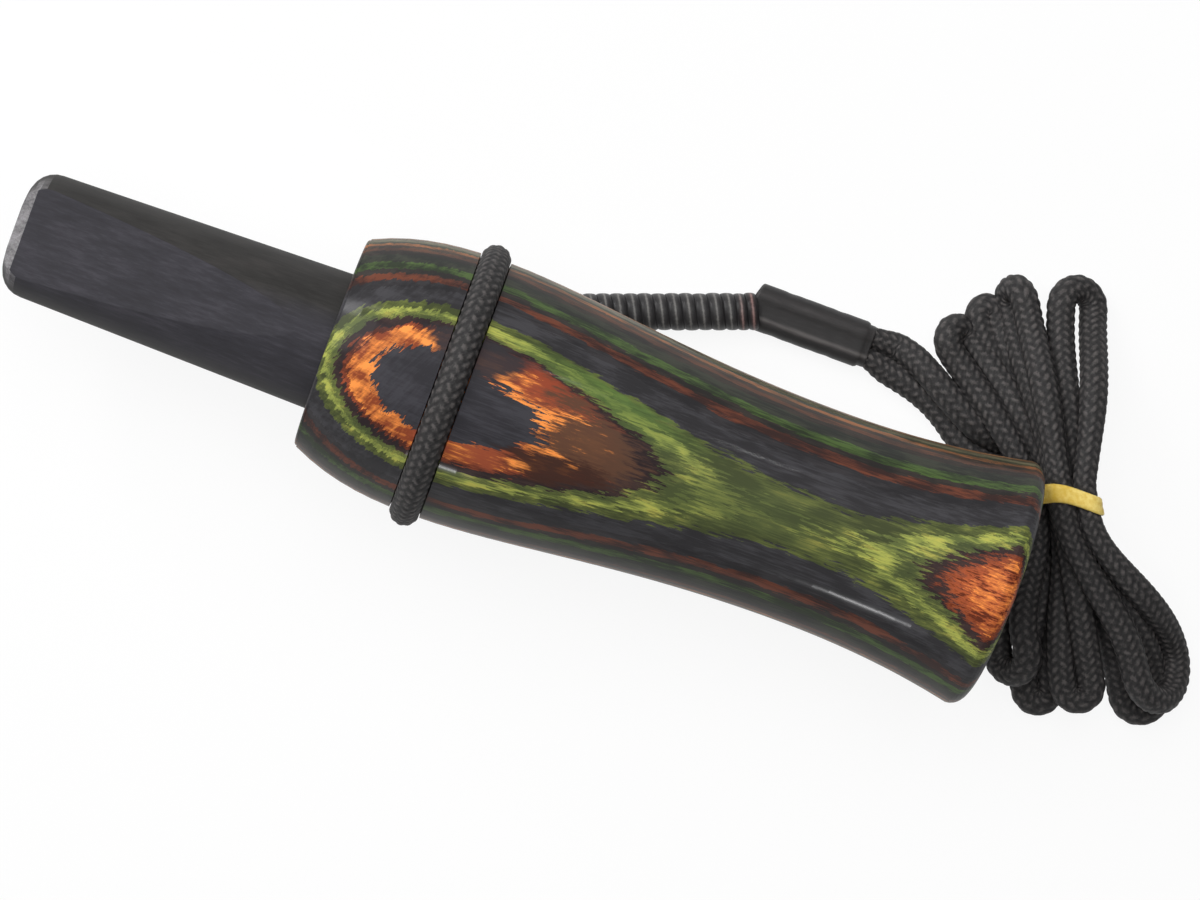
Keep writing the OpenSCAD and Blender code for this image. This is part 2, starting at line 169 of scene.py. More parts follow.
def link_rows():
    """Midway between the strands: x, y, height, half their distance, one's lift and their radius."""
    end = SLEEVE_AT[0] + SLEEVE_L
    rows = [(end + out, SLEEVE_AT[1], SLEEVE_AT[2], LOBE_Y, 0, LINK_SLEEVED_R)
            for out in LINK_IN_SLEEVE]
    for x, y, lift in LINK_OPEN:
        half = math.sqrt(LINK_HALF ** 2 - lift ** 2)
        rows.append((x, y, CORD_H + lift, half, lift, CORD_D / 2))
    rows += [(x, y, h, PASS_STEP / 2, 0, LINK_RISING_R) for x, y, h in LINK_RISING]
    for a in LINK_IN_BAND:
        x, y, _ = in_hank(-PASS_STEP / 2 + WAIST_SHIFT, a, WAIST_H)
        rows.append((x, y, WAIST_H, PASS_STEP / 2, 0, WAIST_D / 2))
    return np.array(rows)


def link_route(side):
    x, y, h, half, lift, radii = link_rows().T
    middle = np.stack([x, y, FLOOR_MM + h], 1)
    heading = np.gradient(middle, axis=0)
    across = np.stack([-heading[:, 1], heading[:, 0], 0 * heading[:, 0]], 1)
    across /= np.linalg.norm(across, axis=1)[:, None]
    offset = half[:, None] * across + lift[:, None] * np.array([0.0, 0.0, 1.0])
    return list(middle + side * offset), list(radii)


def whole_neck_cord():
    first, first_r = link_route(-1)
    last, last_r = link_route(1)
    middle, middle_r = hank_route()
    return (np.array(first + middle[1:-1] + last[::-1]),
            np.array(first_r + middle_r[1:-1] + last_r[::-1]))


# The whipping's axis: where it starts, how far one turn takes it, and how it leans
WHIP_AT = (NOOSE_X + 5.7, 12.1, FLOOR_MM + 2.45)
WHIP_PITCH = 1.77
WHIP_L = 16 * WHIP_PITCH
WHIP_LEAN = math.radians(20.2)
# The noose: its ring in the barrel's groove, then the cord between the whipping and the ring, as
# x from the ring's, y, height and, where the whipping squeezes it, radius
RING_R = 16.9 + 1.5 - CORD_D / 2
RING_CORD_R = CORD_D / 2 + 0.04
TO_RING = ((3.3, 11.2, 2.2), (1.2, 9.6, 1.7), (0.2, 7, 1.4), (0, 4, 1.36))
FROM_RING = ((0, 14.4, 8.7, 1.7), (0.4, 13.2, 5.5, 1.65), (1.6, 12.2, 3.3, 1.5),
             (3.4, 11.6, 2.4, 1.25), (6.2, 12.3, 2.4, 1.1))
SLEEVED_R, WHIPPED_R = 1.15, 1.2


def whipping_line():
    start = np.array(WHIP_AT)
    return start, start + WHIP_L * np.array([math.cos(WHIP_LEAN), math.sin(WHIP_LEAN), 0.0])


def noose_route():
    x, y, h = SLEEVE_AT
    rows = [(x + 7.1, y, FLOOR_MM + h, SLEEVED_R), (x + 3.1, y, FLOOR_MM + h, SLEEVED_R),
            (x, y - 0.65, FLOOR_MM + h + 0.1, SLEEVED_R)]
    rows += [(*end, WHIPPED_R) for end in reversed(whipping_line())]
    rows += [(NOOSE_X + x, y, FLOOR_MM + h, CORD_D / 2) for x, y, h in TO_RING]
    for degrees in range(-90, -381, -10):
        a = math.radians(degrees)
        rows.append((NOOSE_X, RING_R * math.cos(a), RING_R * math.sin(a), RING_CORD_R))
    rows += [(NOOSE_X + x, y, FLOOR_MM + h, r) for x, y, h, r in FROM_RING]
    rows = np.array(rows)
    return rows[:, :3], rows[:, 3]


# Sweeps along a route

def evenly(points, radii, step, ease=0.7):
    """The route with a point every step, its corners eased over about that many millimetres."""
    along = np.concatenate([[0], np.cumsum(np.linalg.norm(np.diff(points, axis=0), axis=1))])
    count = max(8, int(along[-1] / step) + 1)
    places = np.linspace(0, along[-1], count)
    rows = np.stack([np.interp(places, along, column) for column in (*points.T, radii)], 1)
    reach = int(3 * ease / step)
    bell = np.exp(-0.5 * (np.arange(-reach, reach + 1) * step / ease) ** 2)
    bell /= bell.sum()
    start = rows[0] + (rows[0] - rows[1]) * np.arange(reach, 0, -1)[:, None]
    stop = rows[-1] + (rows[-1] - rows[-2]) * np.arange(1, reach + 1)[:, None]
    longer = np.concatenate([start, rows, stop])
    rows = np.stack([np.convolve(column, bell, mode="valid") for column in longer.T], 1)
    return rows[:, :3], rows[:, 3]


def carried_frames(points):
    """Two directions square to the route at each of its points, without twist along it."""
    heading = np.gradient(points, axis=0)
    heading /= np.linalg.norm(heading, axis=1)[:, None]
    normals = np.empty_like(points)
    n = np.array([0.0, 0.0, 1.0])
    for i, t in enumerate(heading):
        n = n - t * n.dot(t)
        n /= np.linalg.norm(n)
        normals[i] = n
    return normals, np.cross(heading, normals)


def grid_object(name, rings, close_ends=True):
    """A smooth mesh from rings of points, each ring closed on itself."""
    rows, sides = rings.shape[:2]
    k = np.arange(sides)
    nxt = (k + 1) % sides
    base = (np.arange(rows - 1) * sides)[:, None]
    quads = np.stack([base + k, base + nxt, base + sides + nxt, base + sides + k], 2)
    faces = [tuple(q) for q in quads.reshape(-1, 4).tolist()]
    if close_ends:
        faces.append(tuple(range(sides - 1, -1, -1)))
        faces.append(tuple(range((rows - 1) * sides, rows * sides)))
    mesh = bpy.data.meshes.new(name)
    mesh.from_pydata((rings.reshape(-1, 3) * MM).tolist(), [], faces)
    mesh.polygons.foreach_set("use_smooth", [True] * len(mesh.polygons))
    mesh.update()
    piece = bpy.data.objects.new(name, mesh)
    bpy.context.collection.objects.link(piece)
    return piece


def store(piece, name, values):
    """Gives each point of a mesh a number that its material reads."""
    attribute = piece.data.attributes.new(name, "FLOAT", "POINT")
    attribute.data.foreach_set("value", values.ravel())


def shade(piece, material):
    piece.data.materials.clear()
    piece.data.materials.append(material)


# The braid: strands each way round, how far along they move by one strand, how deep the crevices
# are, how far the crests stand out over the cord's radius, and the mesh's sides and step
BRAID_CARRIERS = 10
BRAID_PITCH = 1.2
BRAID_DEPTH = 0.26
BRAID_FULL = 0.2
BRAID_SIDES = 44
BRAID_STEP = 0.22


def braid_back(along, turn):
    """How far up each point lies on a two-over-two round braid, from 0 in its crevices to 1."""
    a = BRAID_CARRIERS * turn / (2 * math.pi) + along / BRAID_PITCH
    b = BRAID_CARRIERS * turn / (2 * math.pi) - along / BRAID_PITCH
    columns = np.floor(a) + np.floor(b)
    over = np.mod(columns, 4) < 2
    side = np.where(over, np.mod(a, 1), np.mod(b, 1)) * 2 - 1
    run = (np.mod(columns, 2) + np.where(over, np.mod(b, 1), np.mod(a, 1))) / 2
    round_back = np.sqrt(np.clip(1 - 0.94 * side ** 2, 0, 1))
    return round_back * (0.25 + 0.75 * np.sin(math.pi * run) ** 0.7)


def braided(name, points, radii):
    """A braided cord along a route, pressed flat where it lies on the floor."""
    points, radii = evenly(points, radii, BRAID_STEP)
    along = np.arange(len(points))[:, None] * BRAID_STEP
    turn = np.linspace(0, 2 * math.pi, BRAID_SIDES, endpoint=False)
    back = braid_back(along, turn[None, :])
    reach = (radii + BRAID_FULL)[:, None] + BRAID_DEPTH * (back - 1)
    normal, across = carried_frames(points)
    out = (np.cos(turn)[None, :, None] * normal[:, None]
           + np.sin(turn)[None, :, None] * across[:, None])
    rings = points[:, None] + out * reach[..., None]
    rings[..., 2] = np.maximum(rings[..., 2], FLOOR_MM)
    piece = grid_object(name, rings)
    # The cord's material paints shade in the crevices and a highlight on the crests from this
    store(piece, "back", back)
    return piece, points


# Materials

def srgb(*levels):
    """A colour for a socket from screen levels between 0 and 255."""
    shares = [v / 255 for v in levels]
    return tuple(s / 12.92 if s < 0.0404 else ((s + 0.055) / 1.055) ** 2.4 for s in shares) + (1.0,)


def stops(*rows):
    """Places on a colour ramp and the colours there."""
    return [(place, srgb(*levels)) for place, *levels in rows]


class Look:
    """One material: its nodes are added and joined with short calls."""

    def __init__(self, name, colour, roughness, **sockets):
        self.material = bpy.data.materials.new(name)
        self.material.use_nodes = True
        self.tree = self.material.node_tree
        self.surface = self.tree.nodes["Principled BSDF"]
        self.surface.inputs["Base Color"].default_value = colour
        self.surface.inputs["Roughness"].default_value = roughness
        for socket, value in sockets.items():
            self.surface.inputs[socket.replace("_", " ")].default_value = value
        self.place = self.node("ShaderNodeTexCoord").outputs["Object"]

    def node(self, kind, settings=None, **inputs):
        """A new node; i0, i1 and so on name its sockets by number, other words by name."""
        node = self.tree.nodes.new(kind)
        for key, value in (settings or {}).items():
            setattr(node, key, value)
        for key, value in inputs.items():
            numbered = key[0] == "i" and key[1:].isdigit()
            socket = node.inputs[int(key[1:]) if numbered else key.replace("_", " ")]
            if isinstance(value, bpy.types.NodeSocket):
                self.tree.links.new(value, socket)
            else:
                socket.default_value = value
        return node

    def math(self, operation, a, b=0.0):
        return self.node("ShaderNodeMath", {"operation": operation}, i0=a, i1=b).outputs[0]

    def times(self, a, b):
        return self.math("MULTIPLY", a, b)

    def plus(self, a, b):
        return self.math("ADD", a, b)

    def minus(self, a, b):
        return self.math("SUBTRACT", a, b)

    def scalar_mix(self, share, a, b):
        return self.node("ShaderNodeMix", i0=share, i2=a, i3=b).outputs[0]

    def mix(self, share, a, b):
        return self.node("ShaderNodeMix", {"data_type": "RGBA"}, i0=share, i6=a, i7=b).outputs[2]

    def stretched(self, x, y, z, place=None):
        """The place, in units of so many millimetres along each axis."""
        return self.node("ShaderNodeMapping", i0=place or self.place,
                         Scale=(1 / (x * MM), 1 / (y * MM), 1 / (z * MM))).outputs[0]

    def noise(self, vector, detail=2.0, roughness=0.5):
        return self.node("ShaderNodeTexNoise", i0=vector, Scale=1.0, Detail=detail,
                         Roughness=roughness).outputs[0]

    def stored(self, name):
        return self.node("ShaderNodeAttribute", {"attribute_name": name}).outputs["Fac"]

    def ramp(self, value, colours, sharp=False):
        node = self.node("ShaderNodeValToRGB", Fac=value)
        band = node.color_ramp
        band.interpolation = "CONSTANT" if sharp else "LINEAR"
        while len(band.elements) < len(colours):
            band.elements.new(0.5)
        for element, (position, colour) in zip(band.elements, colours):
            element.position = position
            element.color = colour
        return node.outputs[0]

    def range(self, value, low, high, to_low, to_high):
        return self.node("ShaderNodeMapRange", Value=value, From_Min=low, From_Max=high,
                         To_Min=to_low, To_Max=to_high).outputs[0]

    def between(self, height, rise, fall):
        """One between two soft edges, each given by its two ends in millimetres, else nothing."""
        return self.times(self.range(height, rise[0] * MM, rise[1] * MM, 0.0, 1.0),
                          self.range(height, fall[0] * MM, fall[1] * MM, 1.0, 0.0))

    def spot(self, middle, size):
        """One in the middle of a soft ellipsoid, in millimetres, falling to nothing at its edge."""
        place = self.node("ShaderNodeVectorMath", {"operation": "SUBTRACT"}, i0=self.place,
                          i1=tuple(m * MM for m in middle)).outputs[0]
        place = self.stretched(*size, place)
        reach = self.node("ShaderNodeVectorMath", {"operation": "LENGTH"}, i0=place)
        return self.range(reach.outputs["Value"], 0.2, 1.0, 1.0, 0.0)

    def bump(self, height, distance, strength, normal=None):
        node = self.node("ShaderNodeBump", Height=height, Distance=distance * MM, Strength=strength)
        if normal is not None:
            self.tree.links.new(normal, node.inputs["Normal"])
        return node.outputs[0]

    def wire(self, value, socket):
        self.tree.links.new(value, self.surface.inputs[socket])


# The dyed plies from the middle of the stack outwards: height at which each begins in
# millimetres, the colour of its dark fibres and the colour of its light ones
PLIES = [
    (0.0, (104, 78, 52), (150, 108, 70)), (0.8, (66, 58, 46), (92, 80, 62)),
    (1.5, (78, 76, 58), (112, 106, 82)), (2.6, (50, 52, 42), (72, 74, 54)),
    (3.4, (88, 64, 46), (150, 96, 60)), (4.3, (50, 45, 42), (76, 62, 52)),
    (5.1, (66, 50, 44), (98, 66, 52)), (5.9, (45, 42, 41), (62, 55, 50)),
    (6.8, (43, 45, 42), (60, 62, 54)), (8.3, (46, 54, 40), (76, 96, 54)),
    (9.4, (45, 43, 42), (60, 55, 52)), (10.1, (58, 43, 41), (108, 64, 50)),
    (11.0, (46, 45, 47), (60, 58, 60)), (11.7, (51, 50, 52), (68, 67, 70)),
    (13.15, (66, 72, 46), (100, 108, 60)), (13.75, (92, 102, 58), (160, 168, 84)),
    (14.2, (72, 80, 50), (108, 116, 64)), (14.55, (46, 38, 40), (66, 52, 50)),
    (15.0, (80, 44, 36), (150, 76, 50)), (15.3, (134, 66, 42), (246, 150, 74)),
    (16.2, (51, 50, 54), (65, 64, 69))]
PLY_STACK = 17.5
PLY_TILT = math.radians(5.5)
# Between these places along the barrel, in metres, its fibres turn from slanting to lengthwise
FRONT_END = (-0.078, -0.070)
FRONT_SLANT = math.radians(-62)
# The green ply is fresher over the shoulder and duller at the waist. Each patch: middle, size
# and colour
GREEN_PATCHES = [((-54, 5.5, 14.0), (20, 5, 6), (84, 112, 60)),
                 ((-33.5, -1.5, 14.0), (14, 7, 6), (74, 84, 54))]
GREEN_LIGHTEST = (190, 182, 88)
# Rust and dull brown fibres in the orange ply, bare dark wood by the lanyard. Each patch: middle,
# size, colour, how sure and how streaked it is, and how high up in the stack it reaches
ORANGE_PATCHES = [((-61.0, 3.4, 15.0), (12, 5.5, 5), (146, 70, 48), 0.9, 1.7, 16.25),
                  ((-68.0, -5.2, 15.0), (11, 4.0, 5), (150, 76, 52), 0.9, 1.5, 16.25),
                  ((-52.5, -0.5, 14.5), (17, 9.5, 6), (92, 66, 52), 1.0, 1.9, 16.25),
                  ((-4.0, -1.0, 15.0), (14, 9.0, 6), (206, 104, 60), 0.5, 1.8, 16.25),
                  ((-4.0, -1.0, 15.0), (14, 9.0, 6), (84, 40, 28), 0.3, 2.4, 16.25),
                  ((-57.0, -5.6, 14.6), (12, 3.4, 5), (66, 44, 38), 1.0, 1.0, 20.0),
                  ((-72.0, 5.2, 15.6), (10, 5.2, 5), (54, 52, 55), 1.0, 0.7, 20.0)]


def slanting_fibres(look):
    turned = look.node("ShaderNodeMapping", i0=look.place, Rotation=(0.0, 0.0, FRONT_SLANT))
    return look.noise(look.stretched(3, 0.5, 1, turned.outputs[0]), 3.0, 0.65)


def ply_height(look, split, front, slanting):
    """Height in the tilted stack, with waving plies that are frayed along their fibres."""
    height = look.minus(look.times(split.outputs[2], math.cos(PLY_TILT)),
                        look.times(split.outputs[1], math.sin(PLY_TILT)))
    height = look.math("ABSOLUTE", height)
    wave = look.minus(look.noise(look.stretched(16, 9, 9), 2.0), 0.5)
    lengthwise = look.noise(look.stretched(4, 0.4, 0.4), 3.0, 0.65)
    fibre = look.minus(look.scalar_mix(front, lengthwise, slanting), 0.5)
    height = look.plus(height, look.times(wave, 0.8 * MM))
    height = look.plus(height, look.times(fibre, 1.3 * MM))
    return look.plus(height, look.times(look.spot((-82, 0, 15.9), (11, 11, 3)), 0.3 * MM))


def ply_colour(look, height, bright):
    share = look.math("DIVIDE", height, PLY_STACK * MM)
    dark = look.ramp(share, stops(*[(z / PLY_STACK, *colour) for z, colour, _ in PLIES]), sharp=True)
    light = look.ramp(share, stops(*[(z / PLY_STACK, *colour) for z, _, colour in PLIES]), sharp=True)
    return look.mix(look.range(bright, 0.4, 0.66, 0.0, 1.0), dark, light)


def patched_green(look, colour, height, bright):
    lit = look.times(look.range(bright, 0.6, 0.85, 0.0, 0.9),
                     look.between(height, (13.3, 13.7), (14.4, 14.7)))
    colour = look.mix(lit, colour, srgb(*GREEN_LIGHTEST))
    green = look.times(look.between(height, (13.2, 13.5), (14.4, 14.6)),
                       look.range(bright, 0.35, 0.75, 0.4, 0.9))
    for middle, size, shade_to in GREEN_PATCHES:
        colour = look.mix(look.times(green, look.spot(middle, size)), colour, srgb(*shade_to))
    return colour


def patched_orange(look, colour, height, bright):
    darker = look.minus(0.5, bright)
    for middle, size, shade_to, sure, flecks, top in ORANGE_PATCHES:
        near = look.spot(middle, size)
        patch_and_painted_glint = look.plus(look.times(near, sure), look.times(darker, flecks))
        patch_and_painted_glint = look.times(look.range(patch_and_painted_glint, 0.3, 0.6, 0.0, 0.95), look.range(near, 0.0, 0.15, 0.0, 1.0))
        patch_and_painted_glint = look.times(patch_and_painted_glint, look.between(height, (14.7, 14.95), (top - 0.1, top)))
        colour = look.mix(patch_and_painted_glint, colour, srgb(*shade_to))
    return colour


def laminated_wood():
    """Plies stacked at a slight tilt, their edges frayed along the grain, under a thin finish."""
    look = Look("laminated_wood", srgb(90, 80, 50), 0.6, Specular_IOR_Level=0.1, Coat_Weight=0.25,
                Coat_Roughness=0.12, Coat_IOR=1.35)
    split = look.node("ShaderNodeSeparateXYZ", i0=look.place)
    front = look.range(split.outputs[0], *FRONT_END, 1.0, 0.0)
    slanting = slanting_fibres(look)
    height = ply_height(look, split, front, slanting)
    streak = look.noise(look.stretched(5, 0.3, 0.3), 4.0, 0.7)
    streak = look.scalar_mix(look.times(front, 0.6), streak, slanting)
    mottle = look.minus(look.noise(look.stretched(6, 2.2, 2.2), 2.0), 0.5)
    bright = look.plus(streak, look.times(mottle, 0.9))
    colour = ply_colour(look, height, bright)
    colour = patched_green(look, colour, height, bright)
    colour = patched_orange(look, colour, height, bright)
    look.wire(colour, "Base Color")
    look.wire(look.range(streak, 0.3, 0.7, 0.55, 0.66), "Roughness")
    look.wire(look.bump(streak, 0.02, 0.3), "Normal")
    return look.material


def black_wood():
    """Dyed wood with painted light: a paler tone on its flats and on the side that faces up and towards
    the near side, and a painted highlight on the bevel across the tip.
    """
    look = Look("black_wood", srgb(56, 55, 58), 0.6, Specular_IOR_Level=0.2)
    grain = look.noise(look.stretched(3, 0.4, 0.4), 4.0, 0.7)
    broad = look.noise(look.stretched(7, 2, 2), 2.0)
    share = look.plus(grain, look.times(look.minus(broad, 0.5), 0.6))
    # Painted light: the paler tone below goes on the flats and where the round faces up towards the near
    # side, the darker tone elsewhere
    flat = look.ramp(share, stops((0.3, 50, 49, 53), (0.5, 56, 55, 60), (0.72, 67, 65, 71)))
    turned = look.ramp(share, stops((0.3, 45, 44, 43), (0.5, 52, 51, 50), (0.72, 60, 58, 57)))
    # Painted highlight for the bevel across the tip
    patch_and_painted_glint = look.ramp(share, stops((0.3, 84, 82, 84), (0.7, 146, 144, 146)))
    normal = look.node("ShaderNodeTexCoord").outputs["Normal"]
    facing = look.node("ShaderNodeSeparateXYZ", i0=normal).outputs
    upright = look.range(look.math("ABSOLUTE", facing[2]), 0.9, 0.99, 0.0, 1.0)
    lit_near_side = look.times(look.range(facing[1], -0.05, 0.06, 1.0, 0.0),
                           look.range(facing[2], 0.25, 0.6, 0.0, 1.0))
    tip_side = look.times(look.range(facing[0], -0.3, -0.5, 0.0, 1.0),
                          look.range(facing[2], 0.3, 0.5, 0.0, 1.0))
    colour = look.mix(look.math("MAXIMUM", upright, lit_near_side), turned, flat)
    # The painted highlight goes where the surface faces forward and up, on the tip's bevel
    look.wire(look.mix(tip_side, colour, patch_and_painted_glint), "Base Color")
    look.wire(look.range(grain, 0.3, 0.7, 0.55, 0.7), "Roughness")
    edge = look.node("ShaderNodeBevel", {"samples": 6}, Radius=0.25 * MM).outputs[0]
    look.wire(look.bump(grain, 0.03, 0.5, edge), "Normal")
    return look.material


def cord_look():
    """Braided fibre, with painted shade in its crevices and a painted highlight on its crests."""
    look = Look("cord", srgb(55, 54, 54), 0.65, Specular_IOR_Level=0.25)
    fleck = look.noise(look.stretched(0.45, 0.45, 0.45), 2.0, 0.6)
    share = look.plus(look.stored("back"), look.times(look.minus(fleck, 0.55), 1.1))
    # Painted shade in the crevices and painted highlight on the crests, read from how far up the braid
    # each point lies
    colours = stops((0.1, 41, 40, 41), (0.6, 55, 54, 54), (1.0, 88, 84, 83))
    look.wire(look.ramp(share, colours), "Base Color")
    fine = look.noise(look.stretched(0.12, 0.12, 0.12), 2.0)
    look.wire(look.bump(fine, 0.03, 0.5), "Normal")
    return look.material


def thread_look():
    """Waxed thread with a painted highlight along its crests, the last turns by the sleeve redder."""
    look = Look("thread", srgb(46, 45, 46), 0.4, Specular_IOR_Level=0.3)
    fine = look.noise(look.stretched(0.4, 0.4, 0.4), 3.0, 0.6)
    share = look.plus(look.stored("back"), look.times(look.minus(fine, 0.5), 0.5))
    # Painted highlight: both ramps grow paler towards the crest
    plain = look.ramp(share, stops((0.15, 46, 45, 46), (0.7, 64, 63, 63), (1.05, 118, 116, 114)))
    redder = look.ramp(share, stops((0.1, 38, 36, 37), (0.6, 62, 52, 52), (1.0, 140, 112, 108)))
    look.wire(look.mix(look.stored("late"), plain, redder), "Base Color")
    look.wire(look.bump(fine, 0.02, 0.5), "Normal")
    return look.material


def sleeve_look():
    """Dull black shrink tube, with a painted highlight along its ridges."""
    look = Look("sleeve_plastic", srgb(46, 45, 45), 0.45, Specular_IOR_Level=0.3)
    fine = look.noise(look.stretched(1.6, 0.3, 0.3), 3.0, 0.6)
    highlight_breakup = look.noise(look.stretched(5, 1.2, 1.2), 2.0)
    # Painted highlight along the ridges, broken up by noise
    share = look.times(look.stored("ridge_highlight"), look.range(highlight_breakup, 0.3, 0.6, 0.5, 1.2))
    share = look.plus(share, look.times(look.minus(fine, 0.5), 0.5))
    colours = stops((0.0, 50, 49, 49), (0.35, 62, 60, 60), (1.0, 90, 87, 86))
    look.wire(look.ramp(share, colours), "Base Color")
    look.wire(look.bump(fine, 0.02, 0.5), "Normal")
    return look.material


def plain_look(name, dark, light, roughness, grain_mm=0.4, depth=0.02):
    look = Look(name, dark, roughness)
    broad_mm = 12 * grain_mm
    fine = look.noise(look.stretched(grain_mm, grain_mm, grain_mm), 3.0, 0.6)
    broad = look.noise(look.stretched(broad_mm, broad_mm, broad_mm), 2.0)
    share = look.times(fine, look.range(broad, 0.3, 0.7, 0.5, 1.3))
    look.wire(look.mix(look.range(share, 0.25, 0.75, 0.0, 1.0), dark, light), "Base Color")
    look.wire(look.bump(fine, depth, 0.6), "Normal")
    return look.material


# The pieces on the lanyard

def make_neck_cord(material):
    piece, path = braided("neck_cord_braided", *whole_neck_cord())
    shade(piece, material)
    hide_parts("neck_cord_outer", "neck_cord_inner", "neck_cord_hank")
    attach(piece, "lanyard")
    return piece, path


def make_noose(material):
    piece, _ = braided("noose_braided", *noose_route())
    shade(piece, material)
    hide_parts("noose")
    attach(piece, "lanyard")


# The thread's crest is this far from the whipping's axis. Its last turns lie close and narrow
WHIP_R = 2.42
WHIP_TURNS, WHIP_CLOSE, WHIP_NARROW = 15.14, 2.4, 0.2
STEPS_PER_TURN = 44
# The thread's section: how far along the axis, and how far out from the crest
THREAD_SECTION = [(-0.92, -0.6), (-0.9, -0.2), (-0.66, -0.08), (-0.36, -0.02), (0.0, 0.0),
                  (0.36, -0.02), (0.66, -0.08), (0.9, -0.2), (0.92, -0.6), (0.0, -0.9)]


def crest(along, rise):
    """How near a point of the thread's section is to its crest, from 0 to 1; the material paints a
    highlight there.
    """
    return max(0.0, 1 - (abs(along) / 0.62) ** 1.1) if rise > -0.3 else 0.0


def make_whipping(material):
    """A flat thread wound tight round the noose's closed end, its last turns drawn close by the sleeve."""
    start, end = whipping_line()
    axis = (end - start) / np.linalg.norm(end - start)
    side = np.array([-axis[1], axis[0], 0.0])
    steps = int((WHIP_TURNS + WHIP_CLOSE) * STEPS_PER_TURN)
    wound = np.arange(steps + 1) / STEPS_PER_TURN
    turn = 2 * math.pi * wound
    width = 1 - WHIP_NARROW * np.clip(wound - WHIP_TURNS + 0.5, 0, 1)
    run = np.concatenate([[0], np.cumsum((width[1:] + width[:-1]) / 2 / STEPS_PER_TURN)])
    middle = start + np.outer(WHIP_PITCH * run, axis)
    out = np.cos(turn)[:, None] * np.array([0, 0, 1.0]) + np.sin(-turn)[:, None] * side
    outer = WHIP_R + 0.03 * np.sin(turn * 0.37) + 0.02 * np.sin(turn * 1.31 + 1)
    rings = np.stack([middle + out * (outer + rise)[:, None] + np.outer(along * width, axis)
                      for along, rise in THREAD_SECTION], 1)
    rings[..., 2] = np.maximum(rings[..., 2], FLOOR_MM)
    piece = grid_object("whipping_thread", rings)
    back = np.array([crest(along, rise) for along, rise in THREAD_SECTION])
    late = np.clip((wound - WHIP_TURNS - 0.6) / 0.4, 0, 1)
    store(piece, "back", np.tile(back, (steps + 1, 1)))
    store(piece, "late", np.repeat(late, len(THREAD_SECTION)))
    shade(piece, material)
    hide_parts("whipping")
    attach(piece, "lanyard")


# The sleeve's near end is cut aslant: by how much, and how far along the slant fades out
SLEEVE_SLANT, SLANT_FADES = 1.7, 6.0
SLEEVE_HALF_Y = 3.1


def lobed_outline(r, bridge, count=72):
    """Points of two round lobes side by side with a shallow crease between them."""
    points = []
    for t in np.linspace(0, 2 * math.pi, count, endpoint=False):
        y, z = math.cos(t), math.sin(t)
        reach = 0.0
        for distance in np.linspace(0.2, 4.0, 381):
            py, pz = abs(y * distance), abs(z * distance)
            if (py - LOBE_Y) ** 2 + pz ** 2 <= r * r or (py <= LOBE_Y and pz <= bridge):
                reach = distance
        points.append((y * reach, z * reach))
    outline = np.array(points)
    for _ in range(2):
        outline = (np.roll(outline, 1, 0) + 2 * outline + np.roll(outline, -1, 0)) / 4
    return outline


def sleeve_sections():
    """Distance along the sleeve, outline and scale, from inside its near end to inside its far one."""
    outer, inner = lobed_outline(1.8, 1.62), lobed_outline(1.47, 1.3)
    rim, far_inner = (outer + inner) / 2, inner * (0.92, 0.9)
    sections = [(0.5, inner, 1.0), (0.12, inner, 1.02), (0.0, rim, 1.0), (0.1, outer, 0.99),
                (0.35, outer, 1.0)]
    for x in np.linspace(0.9, SLEEVE_L - 1.3, 34):
        swell = 1.0 + 0.012 * math.sin(x * 1.1) + 0.01 * math.sin(x * 2.7 + 1)
        sections.append((x, outer, min(1.0, swell)))
    return sections + [
        (SLEEVE_L - 1.0, outer, 0.96), (SLEEVE_L - 0.85, outer, 0.9), (SLEEVE_L - 0.3, outer, 0.9),
        (SLEEVE_L - 0.1, outer, 0.88), (SLEEVE_L, rim, 0.9), (SLEEVE_L - 0.12, far_inner, 1.0),
        (SLEEVE_L - 0.5, far_inner, 0.98)]


def make_sleeve(material):
    """A shrunk tube over the cord's ends: softened rims, a crease along the top, a pinched far end."""
    rings = []
    for x, outline, grow in sleeve_sections():
        lean = SLEEVE_SLANT * max(0.0, 1 - x / SLANT_FADES)
        rings.append([(SLEEVE_AT[0] + x - lean * (0.5 - 0.5 * y / SLEEVE_HALF_Y),
                       SLEEVE_AT[1] + y * grow, FLOOR_MM + SLEEVE_AT[2] + z * grow)
                      for y, z in outline])
    rings = np.array(rings)
    piece = grid_object("sleeve_shrunk", rings, close_ends=False)
    y = rings[..., 1] - SLEEVE_AT[1]
    upper = rings[..., 2] > FLOOR_MM + SLEEVE_AT[2]
    # Painted highlights on the upper half only: a sharp one along the top of the lobe on the minus y side,
    # a soft one along the other lobe
    sharp_highlight = np.exp(-((y + LOBE_Y + 0.2) / 0.32) ** 2)
    soft_highlight = 0.35 * np.exp(-((y - LOBE_Y - 0.3) / 0.6) ** 2)
    store(piece, "ridge_highlight", (sharp_highlight + soft_highlight) * upper)
    shade(piece, material)
    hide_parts("sleeve")
    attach(piece, "lanyard")


